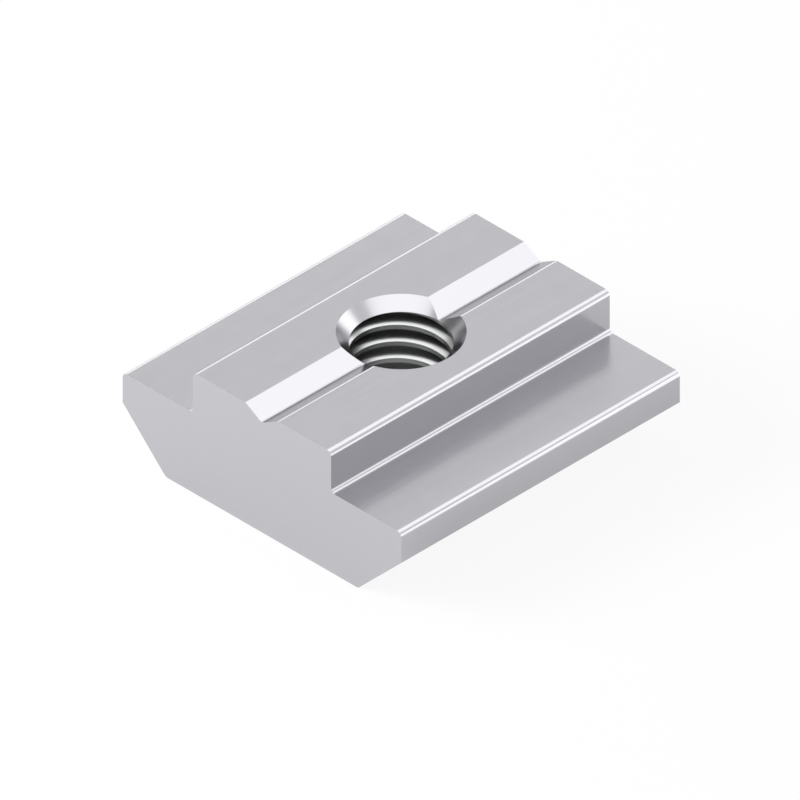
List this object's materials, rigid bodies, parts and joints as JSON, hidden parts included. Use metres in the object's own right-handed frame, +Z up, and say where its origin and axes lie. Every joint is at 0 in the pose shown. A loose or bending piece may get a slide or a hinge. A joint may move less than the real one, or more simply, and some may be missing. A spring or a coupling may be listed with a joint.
{
  "type": "t slot nut",
  "caption": "Stepped steel block with bevelled wings, a raised collar, a V groove and a threaded hole, for clamping a screw inside a slotted profile.",
  "frame": {"origin": "middle of the flat underside, on the axis of the threaded hole", "axes": "+Z up along the hole's axis, out through the collar; +Y along the slot, the way the section runs; +X across the slot, from wing to wing"},
  "size_m": [0.0154, 0.0154, 0.0058],
  "materials": {
    "steel": "satin zinc-plated steel"
  },
  "bodies": {
    "root": {"nut": "steel"}
  },
  "joints": []
}
